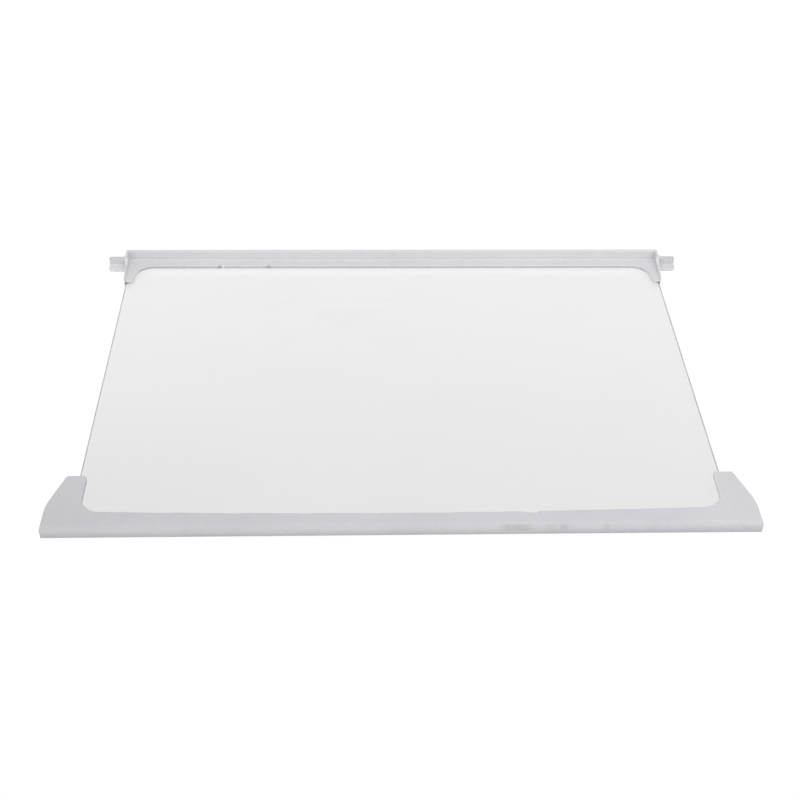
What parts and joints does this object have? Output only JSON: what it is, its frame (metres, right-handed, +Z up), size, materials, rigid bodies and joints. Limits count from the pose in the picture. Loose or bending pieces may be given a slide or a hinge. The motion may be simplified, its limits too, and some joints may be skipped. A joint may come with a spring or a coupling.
{
  "type": "refrigerator glass shelf",
  "caption": "Flat refrigerator shelf: a clear glass pane edged by a winged plastic front trim and a plastic rear trim with an upstand and a locating peg at each end.",
  "frame": {"origin": "under the middle of the shelf, on the plane of the trims' undersides that it rests on", "axes": "+X to the right along the front trim, +Y from the front trim to the rear trim, +Z up through the glass"},
  "size_m": [0.4756, 0.3078, 0.0169],
  "materials": {
    "glass": "polished",
    "front_plastic": "satin",
    "rear_plastic": "satin"
  },
  "bodies": {
    "root": {"glass_pane": "glass", "front_trim": "front_plastic", "rear_trim": "rear_plastic"}
  },
  "joints": []
}
